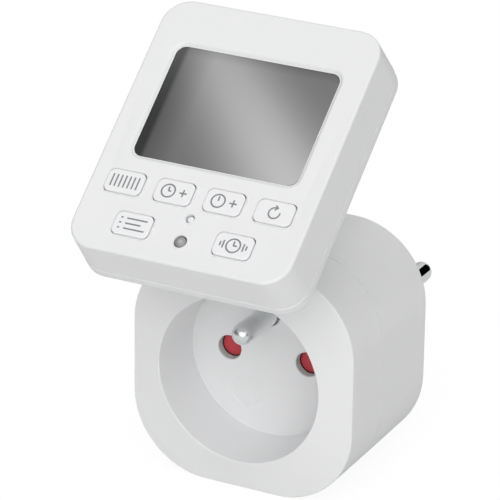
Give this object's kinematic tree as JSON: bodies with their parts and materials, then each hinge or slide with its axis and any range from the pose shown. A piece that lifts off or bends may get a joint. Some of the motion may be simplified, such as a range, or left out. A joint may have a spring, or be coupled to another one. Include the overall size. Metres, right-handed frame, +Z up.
{
  "type": "plug-in timer switch",
  "caption": "Plug-in timer switch: rounded socket housing with a plug at the back, and a display head with keys that tilts on a hinged neck.",
  "frame": {"origin": "on the plug's end face, midway between the two plug pins", "axes": "+X to the right seen from the front, +Y back towards the wall, along the plug pins, +Z up"},
  "size_m": [0.053, 0.1056, 0.1038],
  "materials": {
    "white_plastic": "satin moulded",
    "key_plastic": "satin moulded",
    "red_plastic": "satin moulded",
    "cream_insulator": "moulded",
    "plated_pins": "bright nickel plating",
    "spring_steel": "bright strip",
    "steel": "zinc plated",
    "brass": "bright strip",
    "circuit_board": "solder mask",
    "relay_case": "moulded",
    "film_capacitor_case": "moulded",
    "varistor_coat": "dipped epoxy",
    "black_parts": "moulded",
    "fuse_body": "ceramic",
    "cable_grey": "soft jacket",
    "display_pane": "clear polished acrylic over a grey display",
    "lcd_glass": "polarised display glass",
    "reflector_foil": "silver film",
    "silicone": "translucent silicone",
    "lamp_resin": "diffused resin"
  },
  "bodies": {
    "base": {"front_housing": "white_plastic", "rear_housing": "white_plastic", "plug_boss": "white_plastic", "neck": "white_plastic", "earth_pin": "plated_pins", "earth_nut": "plated_pins", "plug_pin_left": "plated_pins", "plug_pin_right": "plated_pins", "earth_clip_top": "spring_steel", "earth_clip_bottom": "spring_steel", "earth_sleeve": "brass", "earth_strap": "brass", "contact_block": "cream_insulator", "contact_left": "brass", "contact_right": "brass", "shutter_spring": "spring_steel", "power_board": "circuit_board", "relay": "relay_case", "film_capacitor": "film_capacitor_case", "electrolytic_capacitor": "black_parts", "varistor": "varistor_coat", "fuse": "fuse_body", "lower_cable_header": "white_plastic", "lower_signal_cable": "cable_grey", "housing_screws": "steel", "block_screws": "steel", "board_screws": "steel", "friction_washers": "black_parts"},
    "head": {"head_front_shell": "white_plastic", "head_back_cover": "white_plastic", "display_pane": "display_pane", "lcd_frame": "white_plastic", "lcd_panel": "lcd_glass", "lcd_reflector": "reflector_foil", "zebra_strips": "black_parts", "control_board": "circuit_board", "controller_chip": "black_parts", "backup_battery": "steel", "quartz_crystal": "steel", "upper_cable_header": "white_plastic", "upper_signal_cable": "cable_grey", "keypad_mat": "silicone", "indicator_lamp": "lamp_resin", "hinge_pin": "steel", "hinge_caps": "white_plastic", "head_screws": "steel"},
    "shutter": {"shutter": "red_plastic"},
    "key_day": {"key_day": "key_plastic"},
    "key_hour": {"key_hour": "key_plastic"},
    "key_minute": {"key_minute": "key_plastic"},
    "key_cycle": {"key_cycle": "key_plastic"},
    "key_program": {"key_program": "key_plastic"},
    "key_clock": {"key_clock": "key_plastic"},
    "reset_button": {"reset_button": "white_plastic"}
  },
  "joints": [
    {"name": "head_tilt", "type": "hinge", "parent": "base", "child": "head", "pos_m": [0, -0.0497, 0.0448], "axis": [-1, 0, 0], "range_deg": [-12, 40]},
    {"name": "key_day_press", "type": "slide", "parent": "head", "child": "key_day", "axis": [0, 0.6428, -0.766], "range_m": [0, 0.0005], "stiffness_N_per_m": 800, "springref_m": -0.0005},
    {"name": "key_hour_press", "type": "slide", "parent": "head", "child": "key_hour", "axis": [0, 0.6428, -0.766], "range_m": [0, 0.0005], "stiffness_N_per_m": 800, "springref_m": -0.0005},
    {"name": "key_minute_press", "type": "slide", "parent": "head", "child": "key_minute", "axis": [0, 0.6428, -0.766], "range_m": [0, 0.0005], "stiffness_N_per_m": 800, "springref_m": -0.0005},
    {"name": "key_cycle_press", "type": "slide", "parent": "head", "child": "key_cycle", "axis": [0, 0.6428, -0.766], "range_m": [0, 0.0005], "stiffness_N_per_m": 800, "springref_m": -0.0005},
    {"name": "key_program_press", "type": "slide", "parent": "head", "child": "key_program", "axis": [0, 0.6428, -0.766], "range_m": [0, 0.0005], "stiffness_N_per_m": 800, "springref_m": -0.0005},
    {"name": "key_clock_press", "type": "slide", "parent": "head", "child": "key_clock", "axis": [0, 0.6428, -0.766], "range_m": [0, 0.0005], "stiffness_N_per_m": 800, "springref_m": -0.0005},
    {"name": "reset_button_press", "type": "slide", "parent": "head", "child": "reset_button", "axis": [0, 0.6428, -0.766], "range_m": [0, 0.0005], "stiffness_N_per_m": 800, "springref_m": -0.0005},
    {"name": "shutter_turn", "type": "hinge", "parent": "base", "child": "shutter", "pos_m": [0, -0.04, 0], "axis": [0, -1, 0], "range_deg": [0, 40], "stiffness_Nm_per_rad": 0.004, "springref_deg": -20.05}
  ]
}
